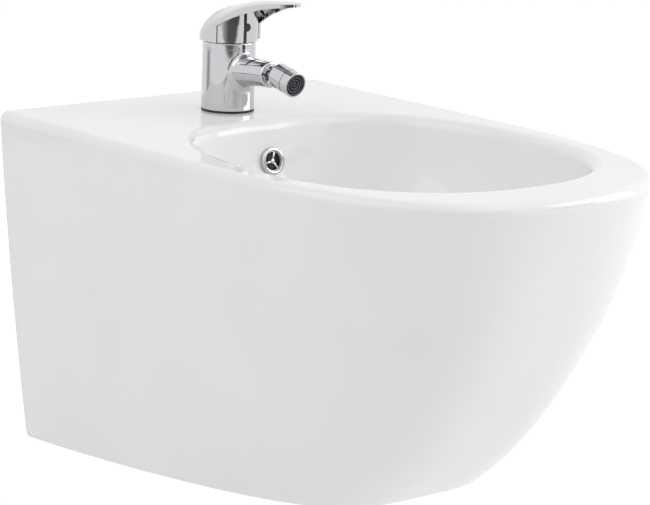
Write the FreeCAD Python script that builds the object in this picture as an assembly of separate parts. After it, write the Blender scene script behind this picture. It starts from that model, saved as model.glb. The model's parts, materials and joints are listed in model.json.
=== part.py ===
"""Wall-hung bidet with a deck-mounted single-lever mixer, an overflow and a push waste.

Millimetres, +Z up. The wall is at y = 0, the front of the bowl points along -Y, and x = 0 is
the plane of symmetry. The origin is midway between the two wall bolts, on the back face.
"""
import FreeCAD, Part
import math
import os

V = FreeCAD.Vector
ALONG_X = V(1, 0, 0)
ALONG_Y = V(0, 1, 0)
UP = V(0, 0, 1)
OUT = V(0, -1, 0)
HALF_TURN = math.pi
FULL_TURN = 2 * math.pi

# Overruns and clearances
overrun = 5.0
thread_clearance = 0.05
running_clearance = 0.05
slip_clearance = 0.3
loose_clearance = 1.0

# Ceramic body: outside
width = 361.0
length = 532.5
back_height = 299.5
underside_rise = 22.0
bottom_taper = 63.0
side_bulge = 2.5
side_straight = 101.0
rim_outer_round = 8.0
rim_inner_round = 10.0
foot_round = 8.0
rim_above_bolts = 80.0
rim_powers = (2.56, 4.5)
foot_powers = (4.1, 1.43)
level_shares = (0.0, 0.15, 0.35, 0.55, 0.75, 0.9, 1.0)
front_reach_shares = (1.0, 0.976, 0.941, 0.887, 0.817, 0.746, 0.682)

# Ceramic body: walls and the open space at the back
wall = 10.0
back_wall = 15.0
rim_thickness = 16.0
service_half_width = 105.0
service_below_bolts = 48.0
service_round = 20.0
underside_half_width = 84.0
underside_front_land = 48.0
bolt_spacing = 180.0
bolt_hole_radius = 9.0

# Bowl
rim_side = 35.5
rim_front = 58.5
bowl_back = 146.0
bowl_widest_share = 0.57
bowl_depth = 138.0
waste_from_wall = 270.0
bowl_front_powers = (2.3, 2.0)
bowl_back_powers = (2.97, 2.44)
round_power = 2.0
widest_drift_power = 2.0
bowl_depth_shares = (0.0, 0.25, 0.5, 0.72, 0.88, 0.97, 1.0)
bowl_width_shares = (1.0, 0.975, 0.91, 0.79, 0.6, 0.39, 0.262)
bowl_back_shares = (0.0, 0.035, 0.12, 0.27, 0.47, 0.645, 0.694)
bowl_front_shares = (0.0, 0.03, 0.1, 0.25, 0.47, 0.7, 0.814)

# Overflow
overflow_depth = 36.0
overflow_tilt = 12.0
overflow_ring_radius = 12.0
overflow_ring_lip = 4.0
overflow_bore_radius = 8.0
overflow_spigot_radius = 9.0
overflow_spigot_length = 12.0
overflow_bar_width = 2.4
overflow_bar_depth = 3.0
overflow_bar_recess = 2.2
overflow_hub_radius = 2.6
overflow_bars = 3
overflow_insert_wall = 0.8
channel_half_width = 18.0
channel_gap = 12.0

# Tap: where it stands, and its body
tap_from_wall = 88.0
tap_hole_radius = 17.5
tap_gasket_thickness = 1.5
tap_gasket_inner_radius = 18.5
tap_radius = 23.5
tap_body_top = 55.7
tap_foot_round = 1.2
spout_axis_height = 39.4
spout_root_height = 35.5
spout_root_offset = 8.0
spout_root_half_width = 15.0
spout_root_half_height = 15.2
spout_end_radius = 11.4
spout_end_offset = 60.2
spout_mid_share = 0.6
spout_end_round = 1.5
spout_blend = 3.5
spout_bore_radius = 5.5
inlet_spacing = 14.0
inlet_offset = 5.0
inlet_radius = 4.5
inlet_length = 13.0
inlet_port_radius = 3.0

# Tap: clamp below the deck
stud_radius = 4.0
stud_length = 62.0
stud_offset = 10.0
stud_depth = 12.0
clamp_radius = 22.0
clamp_slot_half_width = 13.0
clamp_rubber_thickness = 3.0
clamp_steel_thickness = 2.0
tap_nut_height = 8.0
tap_nut_flats = 13.0

# Cartridge
chamber_floor = 26.0
chamber_radius = 17.8
seal_thickness = 1.0
seal_outer_radius = 4.6
seal_wall = 1.4
cartridge_foot_radius = 15.5
cartridge_radius = 17.5
cartridge_shoulder = 45.0
cartridge_top = 55.0
cartridge_floor_thickness = 3.0
cartridge_cavity_radius = 13.4
cartridge_lip = 9.0
cartridge_neck_step = 2.5
port_radius = 2.6
disc_thickness = 3.0
fixed_disc_radius = 13.0
moving_disc_radius = 8.8
slider_thickness = 5.0
carrier_flange = 3.8
carrier_rise = 2.5
spindle_width = 8.0
spindle_pivot_height = 50.0
spindle_arm = 10.5
spindle_ball_radius = 2.3
spindle_neck_share = 0.8
spindle_top = 77.0
spindle_tilt_room = 4.5
pin_radius = 1.5
ring_nut_height = 6.0
ring_nut_bore = 12.5
ring_nut_flats = 31.0
ring_nut_collar = 2.5
shroud_top = 62.0
shroud_round = 1.5
seam_depth = 0.5
seam_width = 0.6

# Lever
lever_gap = 0.5
lever_wall = 2.4
skirt_radius = 26.3
skirt_band = 3.5
skirt_side_wrap = 11.4
hub_radius = 25.0
dome_height = 26.0
dome_radius_shares = (1.0, 0.97, 0.894, 0.738, 0.563, 0.304, 0.07)
dome_height_shares = (0.0, 0.15, 0.32, 0.53, 0.71, 0.875, 0.985)
lever_reach = 91.0
lever_crown = 42.0
lever_plan_reach_shares = (0.3, 0.52, 0.72, 0.86, 0.95, 0.988)
lever_plan_width_shares = (0.9, 0.8, 0.67, 0.52, 0.335, 0.17)
lever_hub_powers = (1.35, 0.574)
lever_tip_powers = (2.0, 0.5)
lever_top_reach_shares = (-0.064, 0.032, 0.15, 0.288, 0.426, 0.576, 0.725, 0.874, 1.0, 1.1)
lever_top_height_shares = (0.64, 0.715, 0.775, 0.85, 0.915, 0.962, 0.99, 1.0, 0.992, 0.975)
lever_edge_reach_shares = (-0.064, 0.032, 0.15, 0.288, 0.426, 0.576, 0.725, 0.874, 1.0, 1.1)
lever_edge_height_shares = (0.08, 0.22, 0.36, 0.52, 0.64, 0.75, 0.84, 0.9, 0.935, 0.95)
lever_arch_points = 5
cavity_radius = 24.1
cavity_front_radius = 22.4
cavity_wrap = 6.0
cavity_straight = 7.0
cavity_rise = 16.5
cavity_top_radius = 13.0
lever_boss_radius = 8.0
lever_boss_gap = 5.0
grub_screw_radius = 2.5
grub_screw_length = 6.0
grub_socket_radius = 1.25
grub_socket_depth = 2.5
grub_height = 13.5
index_cap_radius = 3.6
index_cap_depth = 2.0
index_cap_lip = 0.4

# Swivel nozzle
ball_radius = 6.8
ball_offset = 73.8
ball_neck_radius = 3.6
ball_thread_radius = 6.5
ball_thread_length = 9.0
ball_collar_radius = 8.5
ball_collar_thickness = 1.4
ball_bore_radius = 2.6
liner_thickness = 1.2
liner_reach = 3.5
nozzle_radius = 11.0
nozzle_back = 4.9
nozzle_mouth_radius = 7.2
nozzle_cap_front = 0.5
nozzle_split = 10.4
nozzle_shoulder_round = 1.2
nozzle_rest_tilt = 13.0
nozzle_bore_radius = 6.0
aerator_socket_radius = 9.4
aerator_socket_depth = 3.0
aerator_length = 9.3
aerator_groove_depth = 0.8
aerator_groove_width = 0.9
aerator_rim_wall = 1.35
aerator_rim_round = 0.5
aerator_recess = 1.0
aerator_insert_depth = 5.0
aerator_sleeve_wall = 0.9
aerator_seal_thickness = 1.5
aerator_web_depth = 2.0
aerator_web_width = 0.8
aerator_ring_shares = (0.3, 0.62)
aerator_bars = 4

# Push waste
waste_throat_radius = 23.5
waste_boss_radius = 34.0
waste_boss_height = 24.0
waste_flange_radius = 31.5
waste_flange_thickness = 2.5
waste_thread_radius = 20.95
waste_undercut_radius = 20.0
waste_undercut_length = 2.0
waste_outlet_length = 32.0
waste_bore_radius = 18.0
waste_seal_thickness = 2.0
waste_seal_radius = 29.0
waste_gasket_thickness = 6.0
waste_gasket_radius = 31.0
waste_gasket_foot_radius = 26.0
waste_nut_height = 9.0
waste_nut_flats = 56.0
waste_slot_width = 16.0
waste_slot_height = 10.0
waste_slot_drop = 3.0
plug_radius = 29.0
plug_thickness = 3.0
plug_crown = 2.5
plug_seal_thickness = 1.6
plug_seal_width = 3.0
plug_spigot_radius = 16.5
plug_spigot_depth = 4.0
plug_stem_radius = 4.0
plug_stem_length = 44.0
guide_drop = 26.0
guide_thickness = 5.0
guide_hub_radius = 7.5
guide_ring_wall = 2.0
guide_bar_width = 4.0
guide_bars = 3

# Wall bushes
bush_bore_radius = 6.5
bush_flange_radius = 14.0
bush_flange_thickness = 3.0

# Worked out
rim = rim_above_bolts
bottom_width = width - bottom_taper
underside_reach = length * front_reach_shares[-1] - underside_front_land
bowl_half_width = width / 2 - rim_side
bowl_front = length - rim_front
bowl_widest = bowl_back + bowl_widest_share * (bowl_front - bowl_back)
tap_y = -tap_from_wall
stud_y = tap_y - stud_offset
curve_points = 14
dense_steps = 400
hex_sides = 6
waste_y = -waste_from_wall
bowl_floor = rim - bowl_depth
boss_foot = bowl_floor - wall - waste_boss_height
ball_y = tap_y - ball_offset
nozzle_z = rim + spout_axis_height
pivot_z = rim + spindle_pivot_height
lever_base = rim + shroud_top + lever_gap
cartridge_foot = chamber_floor + seal_thickness
cartridge_neck_radius = cartridge_cavity_radius - cartridge_neck_step
flange_under = bowl_floor + waste_seal_thickness
flange_top = flange_under + waste_flange_thickness
nut_foot = boss_foot - waste_gasket_thickness - waste_nut_height
waste_end = nut_foot - waste_undercut_length - waste_outlet_length
nozzle_centre = V(0, ball_y, nozzle_z)


def between(first, last, share):
    return first + (last - first) * share


def share_at(place, stations, values):
    """Read a table of shares at any place along it."""
    for i in range(1, len(stations)):
        if place <= stations[i]:
            part = (place - stations[i - 1]) / (stations[i] - stations[i - 1])
            return between(values[i - 1], values[i], part)
    return values[-1]


def evenly(points, count):
    """Pick points at equal distances along a dense line of points."""
    run = [0.0]
    for a, b in zip(points, points[1:]):
        run.append(run[-1] + math.dist(a, b))
    picked = []
    j = 0
    for i in range(count + 1):
        goal = run[-1] * i / count
        while j < len(run) - 2 and run[j + 1] < goal:
            j += 1
        part = (goal - run[j]) / (run[j + 1] - run[j])
        picked.append([between(p, q, part) for p, q in zip(points[j], points[j + 1])])
    return picked


def rounded_quarter(half, start, reach, side_power, end_power):
    """One quarter of a squared-off oval, from its side at start to its tip at reach."""
    points = []
    for i in range(dense_steps + 1):
        turn = HALF_TURN / 2 * i / dense_steps
        x = half * abs(math.cos(turn)) ** (2 / side_power)
        y = -between(start, reach, math.sin(turn) ** (2 / end_power))
        points.append((x, y))
    return points


def smooth_line(points, closed=False):
    line = Part.BSplineCurve()
    knots = [float(i) for i in range(len(points) + closed)]
    line.interpolate(Points=points, PeriodicFlag=closed, Parameters=knots)
    return line.toShape()


def tube_z(outer, inner, low, high, x=0.0, y=0.0):
    """A ring or sleeve that stands on end."""
    body = Part.makeCylinder(outer, high - low, V(x, y, low))
    return body.cut(bore_z(inner, low, high, x, y)) if inner > 0 else body


def bore_z(radius, low, high, x=0.0, y=0.0):
    """What is cut away for an upright hole that is open at both ends."""
    return Part.makeCylinder(radius, high - low + 2 * overrun, V(x, y, low - overrun))


def rod_out(radius, span, start):
    """A round bar that runs from its start towards the user."""
    return Part.makeCylinder(radius, span, start, OUT)


def box_between(low, high):
    return Part.makeBox(high[0] - low[0], high[1] - low[1], high[2] - low[2], V(*low))


def turned(profile, centre, axis):
    """A solid of revolution from a closed profile of (radius, run) pairs along the axis."""
    side = ALONG_X if abs(axis.x) < abs(axis.z) + abs(axis.y) else ALONG_Y
    points = [centre + side * r + axis * h for r, h in profile]
    face = Part.Face(Part.makePolygon(points + points[:1]))
    return face.revolve(centre, axis, 360)


def ring_of_arcs(inner, outer, half, centre, axis):
    """A zone of a hollow ball, cut square at half above and below its middle."""
    body = Part.makeSphere(outer, centre)
    if inner > 0:
        body = body.cut(Part.makeSphere(inner, centre))
    keep = Part.makeCylinder(outer + overrun, 2 * half, centre - axis * half, axis)
    return body.common(keep)


def hexagon(flats, low, high, x, y):
    corner = flats / math.sqrt(3)
    turns = [FULL_TURN * i / hex_sides for i in range(hex_sides + 1)]
    points = [V(x + corner * math.cos(t), y + corner * math.sin(t), low) for t in turns]
    return Part.Face(Part.makePolygon(points)).extrude(V(0, 0, high - low))


def outer_wire(level, inset):
    """The outside of the ceramic at one level, from 0 at the rim to 1 at the underside."""
    bulge = side_bulge * 4 * level * (1 - level)
    half = between(width, bottom_width, level) / 2 + bulge - inset
    reach = length * share_at(level, level_shares, front_reach_shares) - inset
    side_power, end_power = [between(a, b, level) for a, b in zip(rim_powers, foot_powers)]
    straight = side_straight * (1 - level)
    curve = [(half, overrun)] + rounded_quarter(half, straight, reach, side_power, end_power)
    right = evenly(curve, curve_points)
    flat = right + [(-x, y) for x, y in reversed(right[:-1])]
    drop = [level * (back_height + underside_rise * y / length) for x, y in flat]
    points = [V(x, y, rim - d) for (x, y), d in zip(flat, drop)]
    closing = Part.LineSegment(points[-1], points[0]).toShape()
    return Part.Wire([smooth_line(points), closing])


def outer_loft(inset, top, bottom, back):
    levels = [between(top, bottom, share) for share in level_shares]
    body = Part.makeLoft([outer_wire(level, inset) for level in levels], True, False)
    reach = length + overrun
    behind = box_between((-width, -back, -reach), (width, reach, reach))
    return body.cut(behind)


def bowl_wire(i, grow):
    """The outside of the bowl's hollow at one of its levels, grown by a wall."""
    depth = bowl_depth_shares[i]
    half = bowl_half_width * bowl_width_shares[i] + grow
    back = between(bowl_back, waste_from_wall, bowl_back_shares[i]) - grow
    front = between(bowl_front, waste_from_wall, bowl_front_shares[i]) + grow
    widest = between(bowl_widest, waste_from_wall, depth ** widest_drift_power)
    front_powers = [between(power, round_power, depth) for power in bowl_front_powers]
    back_powers = [between(power, round_power, depth) for power in bowl_back_powers]
    to_front = rounded_quarter(half, widest, front, *front_powers)
    to_back = rounded_quarter(half, widest, back, *back_powers)
    right = evenly(to_back[::-1] + to_front[1:], curve_points)
    flat = right + [(-x, y) for x, y in reversed(right[1:-1])]
    points = [V(x, y, rim - depth * (bowl_depth + grow)) for x, y in flat]
    return Part.Wire([smooth_line(points, closed=True)])


def bowl_hollow(grow=0.0):
    wires = [bowl_wire(i, grow) for i in range(len(bowl_depth_shares))]
    return Part.makeLoft(wires, True, False)


def overflow_frame():
    """Centre of the overflow on the bowl's back wall, and the way that it faces."""
    share = overflow_depth / bowl_depth
    back_share = share_at(share, bowl_depth_shares, bowl_back_shares)
    back = between(bowl_back, waste_from_wall, back_share)
    tilt = math.radians(overflow_tilt)
    facing = V(0, -math.cos(tilt), math.sin(tilt))
    return V(0, -back, rim - overflow_depth), facing


def on_rim(edge):
    return abs(edge.BoundBox.ZMin - rim) < slip_clearance


def at_back(edge):
    return edge.BoundBox.YMax > -slip_clearance and edge.BoundBox.YMin > -slip_clearance


def rounded_shell():
    """The outside with the bowl cut in, and its edges rounded as the glaze leaves them."""
    body = outer_loft(0.0, 0.0, 1.0, 0.0).cut(bowl_hollow())
    body = body.makeFillet(rim_inner_round, [e for e in body.Edges if on_rim(e) and e.isClosed()])
    long_edges = [e for e in body.Edges if on_rim(e) and not at_back(e) and not e.isClosed()]
    body = body.makeFillet(rim_outer_round, long_edges)
    foot = [e for e in body.Edges if e.Length > length and e.BoundBox.ZMax < 0]
    return body.makeFillet(foot_round, foot)


def overflow_channel():
    """The duct behind the bowl that leads from the overflow to the waste."""
    top = overflow_frame()[0].z + overflow_spigot_radius + wall
    half = channel_half_width + wall
    slab = box_between((-half, waste_y, boss_foot), (half, 0, top))
    return bowl_hollow(2 * wall + channel_gap).common(slab)


def channel_hollow():
    top = overflow_frame()[0].z + overflow_spigot_radius + loose_clearance
    slab = box_between((-channel_half_width, waste_y, boss_foot), (channel_half_width, 0, top))
    duct = bowl_hollow(wall + channel_gap).cut(bowl_hollow(wall))
    return duct.common(slab)


def service_space():
    """The opening in the back and the underside for the trap and the supply hoses."""
    low = rim - back_height - overrun
    top = -service_below_bolts
    gate = box_between(
        (-service_half_width, -back_wall - overrun, low),
        (service_half_width, overrun, top))
    corners = [e for e in gate.Edges if e.BoundBox.ZMin > top - slip_clearance]
    corners = [e for e in corners if e.BoundBox.YLength > back_wall]
    gate = gate.makeFillet(service_round, corners)
    under_top = low + underside_rise + wall + 2 * overrun + foot_round
    nose_y = underside_half_width - underside_reach
    slot = box_between(
        (-underside_half_width, nose_y, low),
        (underside_half_width, overrun, under_top))
    nose = tube_z(underside_half_width, 0, low, under_top, 0, nose_y)
    return gate.fuse(slot.fuse(nose))


def ceramic_body():
    hollow = outer_loft(wall, rim_thickness / back_height, 1 - wall / back_height, back_wall)
    hollow = hollow.cut(bowl_hollow(wall))
    hollow = hollow.cut(overflow_channel())
    hollow = hollow.cut(tube_z(waste_boss_radius, 0, boss_foot, bowl_floor, 0, waste_y))
    body = rounded_shell().cut(hollow)
    body = body.cut(channel_hollow())
    body = body.cut(bore_z(waste_throat_radius, boss_foot, bowl_floor, 0, waste_y))
    centre, facing = overflow_frame()
    spigot_hole = overflow_spigot_radius + slip_clearance
    into = centre + facing * overrun
    reach = wall + overrun + channel_gap / 2
    body = body.cut(Part.makeCylinder(spigot_hole, reach, into, facing * -1))
    body = body.cut(bore_z(tap_hole_radius, rim - rim_thickness, rim, 0, tap_y))
    for side in (-1, 1):
        start = V(side * bolt_spacing / 2, overrun, 0)
        body = body.cut(rod_out(bolt_hole_radius, back_wall + 2 * overrun, start))
    return body.cut(service_space())


def wall_bushes():
    """Flanged plastic sleeves that line the two bolt holes from inside."""
    bushes = []
    for side in (-1, 1):
        start = V(side * bolt_spacing / 2, 0, 0)
        sleeve = rod_out(bolt_hole_radius - slip_clearance, back_wall, start)
        flange = rod_out(bush_flange_radius, bush_flange_thickness, start + OUT * back_wall)
        bore = rod_out(bush_bore_radius, back_wall + 2 * overrun, start - OUT * overrun)
        bushes.append(sleeve.fuse(flange).cut(bore))
    return Part.makeCompound(bushes)


def overflow_ring():
    """Chrome ring with a thick rounded lip and a spigot in the ceramic."""
    centre, facing = overflow_frame()
    soft = (overflow_ring_radius - overflow_bore_radius) / 4
    lip = overflow_ring_lip
    profile = [
        (overflow_bore_radius, -overflow_spigot_length),
        (overflow_spigot_radius, -overflow_spigot_length),
        (overflow_spigot_radius, slip_clearance), (overflow_ring_radius, slip_clearance),
        (overflow_ring_radius, lip - soft), (overflow_ring_radius - soft, lip),
        (overflow_bore_radius + soft, lip), (overflow_bore_radius, lip - soft)]
    return turned(profile, centre + facing * overflow_seat(), facing)


def overflow_seat():
    """How far the ring's back stands off so that its edge just clears the curved wall."""
    return overflow_ring_radius ** 2 / (2 * bowl_half_width)


def overflow_insert():
    """Cup pressed into the ring, with a round hub on plain straight bars."""
    centre, facing = overflow_frame()
    centre = centre + facing * overflow_seat()
    outer = overflow_bore_radius - thread_clearance
    back = centre - facing * overflow_spigot_length
    span = overflow_ring_lip - overflow_bar_recess + overflow_spigot_length
    inner = outer - overflow_insert_wall
    bore = Part.makeCylinder(inner, span + 2 * overrun, back - facing * overrun, facing)
    sleeve = Part.makeCylinder(outer, span, back, facing).cut(bore)
    bar_back = centre + facing * (overflow_ring_lip - overflow_bar_recess - overflow_bar_depth)
    insert = sleeve.fuse(Part.makeCylinder(overflow_hub_radius, overflow_bar_depth, bar_back, facing))
    half = overflow_bar_width / 2
    reach = inner + overflow_insert_wall / 2
    for i in range(overflow_bars):
        bar = box_between((-half, 0, 0), (half, reach, overflow_bar_depth))
        bar.rotate(V(), UP, 360 * i / overflow_bars)
        bar.rotate(V(), ALONG_X, 90 - overflow_tilt)
        bar.translate(bar_back)
        insert = insert.fuse(bar)
    return insert.removeSplitter()


def spout_stub():
    """The spout, from an oval inside the body to a round end."""
    wires = []
    for share in (0.0, spout_mid_share, 1.0):
        eased = math.sin(share * HALF_TURN / 2)
        y = tap_y - between(spout_root_offset, spout_end_offset, share)
        half_width = between(spout_root_half_width, spout_end_radius, eased)
        half_height = between(spout_root_half_height, spout_end_radius, eased)
        z = rim + between(spout_root_height, spout_axis_height, eased)
        turns = [FULL_TURN * i / curve_points for i in range(curve_points)]
        points = [V(half_width * math.cos(t), y, z + half_height * math.sin(t)) for t in turns]
        wires.append(Part.Wire([smooth_line(points, closed=True)]))
    return Part.makeLoft(wires, True, False)


def tap_body():
    foot = rim + tap_gasket_thickness
    pillar = tube_z(tap_radius, 0, foot, rim + tap_body_top, 0, tap_y)
    body = pillar.fuse(spout_stub())
    seam = [e for e in body.Edges if blend_seam(e)]
    body = body.makeFillet(spout_blend, seam)
    end = tap_y - spout_end_offset
    tip = [e for e in body.Edges if e.BoundBox.YMax < end + slip_clearance]
    body = body.makeFillet(spout_end_round, tip)
    base = [e for e in body.Edges if e.BoundBox.ZMax < foot + slip_clearance]
    body = body.makeFillet(tap_foot_round, base)
    chamber_top = rim + tap_body_top + overrun
    body = body.cut(tube_z(chamber_radius, 0, rim + chamber_floor, chamber_top, 0, tap_y))
    waterway = spout_end_offset - chamber_radius + 2 * overrun
    start = V(0, tap_y - spout_end_offset - overrun, nozzle_z)
    body = body.cut(Part.makeCylinder(spout_bore_radius, waterway, start, ALONG_Y))
    socket = ball_thread_radius + thread_clearance
    depth = overrun + ball_thread_length + loose_clearance
    body = body.cut(Part.makeCylinder(socket, depth, start, ALONG_Y))
    for x, y in inlet_places():
        body = body.cut(tube_z(inlet_radius, 0, foot - overrun, foot + inlet_length, x, y))
        body = body.cut(tube_z(inlet_port_radius, 0, foot, rim + chamber_floor + overrun, x, y))
    stud_hole = stud_radius + thread_clearance
    return body.cut(tube_z(stud_hole, 0, foot - overrun, foot + stud_depth, 0, stud_y))


def blend_seam(edge):
    """True for an edge where the spout leaves the round body."""
    box = edge.BoundBox
    inside = box.YMax < tap_y and box.YMin > tap_y - tap_radius - loose_clearance
    above_foot = box.ZMin > rim + tap_gasket_thickness + slip_clearance
    return inside and above_foot and box.ZMax < rim + tap_body_top - slip_clearance


def tap_gasket():
    outer = tap_radius - slip_clearance
    return tube_z(outer, tap_gasket_inner_radius, rim, rim + tap_gasket_thickness, 0, tap_y)


def tap_stud():
    top = rim + tap_gasket_thickness + stud_depth
    return tube_z(stud_radius, 0, top - stud_length, top, 0, stud_y)


def horseshoe(top, thickness):
    """A clamp washer that slips in past the supply hoses."""
    plate = tube_z(clamp_radius, 0, top - thickness, top, 0, tap_y)
    slot = box_between(
        (-clamp_slot_half_width, tap_y - stud_offset / 4, top - thickness - overrun),
        (clamp_slot_half_width, tap_y + clamp_radius + overrun, top + overrun))
    hole = bore_z(stud_radius + slip_clearance, top - thickness, top, 0, stud_y)
    return plate.cut(slot).cut(hole)


def tap_rubber_washer():
    return horseshoe(rim - rim_thickness, clamp_rubber_thickness)


def tap_clamp_washer():
    return horseshoe(rim - rim_thickness - clamp_rubber_thickness, clamp_steel_thickness)


def tap_nut():
    top = rim - rim_thickness - clamp_rubber_thickness - clamp_steel_thickness
    low = top - tap_nut_height
    hole = bore_z(stud_radius + thread_clearance, low, top, 0, stud_y)
    return hexagon(tap_nut_flats, low, top, 0, stud_y).cut(hole)


def inlet_places():
    return [(side * inlet_spacing / 2, tap_y + inlet_offset) for side in (-1, 1)]


def cartridge_seals():
    low = rim + chamber_floor
    inner = seal_outer_radius - seal_wall
    rings = [tube_z(seal_outer_radius, inner, low, low + seal_thickness, x, y)
             for x, y in inlet_places()]
    return Part.makeCompound(rings)


def cartridge_housing():
    """Plastic cup that holds the ceramic discs and the spindle's carrier."""
    low = rim + cartridge_foot
    top = rim + cartridge_top
    cup = tube_z(cartridge_foot_radius, 0, low, rim + cartridge_shoulder, 0, tap_y)
    cup = cup.fuse(tube_z(cartridge_radius, 0, rim + cartridge_shoulder, top, 0, tap_y))
    floor = low + cartridge_floor_thickness
    cup = cup.cut(tube_z(cartridge_cavity_radius, 0, floor, top - cartridge_lip, 0, tap_y))
    cup = cup.cut(bore_z(cartridge_neck_radius, top - cartridge_lip, top, 0, tap_y))
    for x, y in inlet_places():
        cup = cup.cut(bore_z(port_radius, low, floor, x, y))
    window = spout_bore_radius - loose_clearance
    return cup.cut(rod_out(window, cartridge_foot_radius, V(0, tap_y, nozzle_z)))


def fixed_disc():
    low = rim + cartridge_foot + cartridge_floor_thickness
    disc = tube_z(fixed_disc_radius, 0, low, low + disc_thickness, 0, tap_y)
    for x, y in inlet_places():
        disc = disc.cut(bore_z(port_radius, low, low + disc_thickness, x, y))
    return disc


def moving_disc():
    low = rim + cartridge_foot + cartridge_floor_thickness + disc_thickness + running_clearance
    disc = tube_z(moving_disc_radius, 0, low, low + disc_thickness, 0, tap_y)
    pocket = tube_z(moving_disc_radius / 2, 0, low - overrun, low + disc_thickness / 2, 0, tap_y)
    return disc.cut(pocket)


def slider_low():
    return rim + cartridge_foot + cartridge_floor_thickness + 2 * disc_thickness + running_clearance


def disc_slider():
    """Plastic carrier of the moving disc, with the pocket that the spindle's ball pushes."""
    low = slider_low()
    slider = tube_z(moving_disc_radius, 0, low, low + slider_thickness, 0, tap_y)
    pocket = spindle_ball_radius + slip_clearance
    floor = pivot_z - spindle_arm - pocket
    return slider.cut(tube_z(pocket, 0, floor, low + slider_thickness + overrun, 0, tap_y))


def spindle_carrier():
    """Turns in the housing and holds the pin that the spindle tilts on."""
    low = slider_low() + slider_thickness + slip_clearance
    top = rim + cartridge_top + carrier_rise
    flange = cartridge_cavity_radius - slip_clearance
    neck = cartridge_neck_radius - slip_clearance
    body = tube_z(flange, 0, low, low + carrier_flange, 0, tap_y)
    body = body.fuse(tube_z(neck, 0, low, top, 0, tap_y))
    room = spindle_width / 2 + slip_clearance
    reach = spindle_width / 2 + spindle_tilt_room
    slot = box_between((-room, tap_y - reach, low - overrun), (room, tap_y + reach, top + overrun))
    return body.cut(slot).cut(pin_hole(pin_radius + thread_clearance))


def pin_hole(radius):
    start = V(-cartridge_radius, tap_y, pivot_z)
    return Part.makeCylinder(radius, 2 * cartridge_radius, start, ALONG_X)


def spindle_pin():
    half = cartridge_neck_radius - loose_clearance
    return Part.makeCylinder(pin_radius, 2 * half, V(-half, tap_y, pivot_z), ALONG_X)


def spindle():
    """Square shaft with a ball on its lower end and a cross hole for the pin."""
    half = spindle_width / 2
    ball_z = pivot_z - spindle_arm
    neck_top = pivot_z - half
    shaft = box_between((-half, tap_y - half, neck_top), (half, tap_y + half, rim + spindle_top))
    neck_radius = spindle_ball_radius * spindle_neck_share
    neck = tube_z(neck_radius, 0, ball_z, neck_top + loose_clearance, 0, tap_y)
    ball = Part.makeSphere(spindle_ball_radius, V(0, tap_y, ball_z))
    return shaft.fuse(neck).fuse(ball).cut(pin_hole(pin_radius + running_clearance))


def cartridge_nut():
    """Brass ring nut that holds the cartridge down, with a hexagon for the key."""
    low = rim + cartridge_top
    top = low + ring_nut_height
    collar = tube_z(chamber_radius - thread_clearance, 0, low, low + ring_nut_collar, 0, tap_y)
    crown = hexagon(ring_nut_flats, low + ring_nut_collar, top, 0, tap_y)
    crown = crown.common(tube_z(chamber_radius - thread_clearance, 0, low, top, 0, tap_y))
    return collar.fuse(crown).cut(bore_z(ring_nut_bore, low, top, 0, tap_y))


def shroud_ring():
    low = rim + tap_body_top
    ring = tube_z(tap_radius, chamber_radius + slip_clearance, low, rim + shroud_top, 0, tap_y)
    edges = [e for e in ring.Edges if e.BoundBox.ZMin > rim + shroud_top - slip_clearance
             and e.BoundBox.XLength > 2 * tap_radius - loose_clearance]
    ring = ring.makeFillet(shroud_round, edges)
    gap = tube_z(tap_radius + overrun, tap_radius - seam_depth, low, low + seam_width, 0, tap_y)
    return ring.cut(gap)


def flowing_line(points):
    line = Part.BSplineCurve()
    line.interpolate(points)
    return line.toShape()


def lever_plan(inset):
    """The lever from above: round over the hub, drawn in towards a round tip."""
    half = skirt_radius - inset
    reach = lever_reach - inset
    right = [V(half, tap_y, lever_base)]
    for along, across in zip(lever_plan_reach_shares, lever_plan_width_shares):
        right.append(V(half * across, tap_y - reach * along, lever_base))
    left = [V(-p.x, p.y, p.z) for p in reversed(right)]
    points = right + [V(0, tap_y - reach, lever_base)] + left
    front = Part.BSplineCurve()
    front.interpolate(Points=points, InitialTangent=OUT, FinalTangent=ALONG_Y)
    rear = Part.Arc(points[-1], V(0, tap_y + half, lever_base), points[0])
    outline = Part.Wire([front.toShape(), rear.toShape()])
    return Part.Face(outline).extrude(UP * (lever_crown + overrun))


def lever_arch(i, drop):
    """One cross-section of the paddle: an arch from edge to edge over a flat base."""
    along = lever_top_reach_shares[i]
    y = tap_y - lever_reach * along
    crown = lever_base + lever_crown * lever_top_height_shares[i] - drop
    edge = lever_base + lever_crown * lever_edge_height_shares[i] - drop
    half = skirt_radius + slip_clearance
    run_power, rise_power = [between(a, b, along) for a, b in zip(lever_hub_powers, lever_tip_powers)]
    steps = 2 * lever_arch_points
    arch = []
    for k in range(steps + 1):
        across = math.cos(HALF_TURN * k / steps)
        rise = (1 - abs(across) ** run_power) ** rise_power
        arch.append(V(half * across, y, edge + (crown - edge) * rise))
    corners = [arch[-1], V(-half, y, lever_base - drop), V(half, y, lever_base - drop), arch[0]]
    sides = [Part.LineSegment(a, b).toShape() for a, b in zip(corners, corners[1:])]
    return Part.Wire([smooth_line(arch)] + sides)


def paddle(inset):
    """The lever's long front, whole or drawn in and lowered by the thickness of its wall."""
    arches = [lever_arch(i, inset) for i in range(len(lever_top_reach_shares))]
    return Part.makeLoft(arches, True, False).common(lever_plan(inset))


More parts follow.
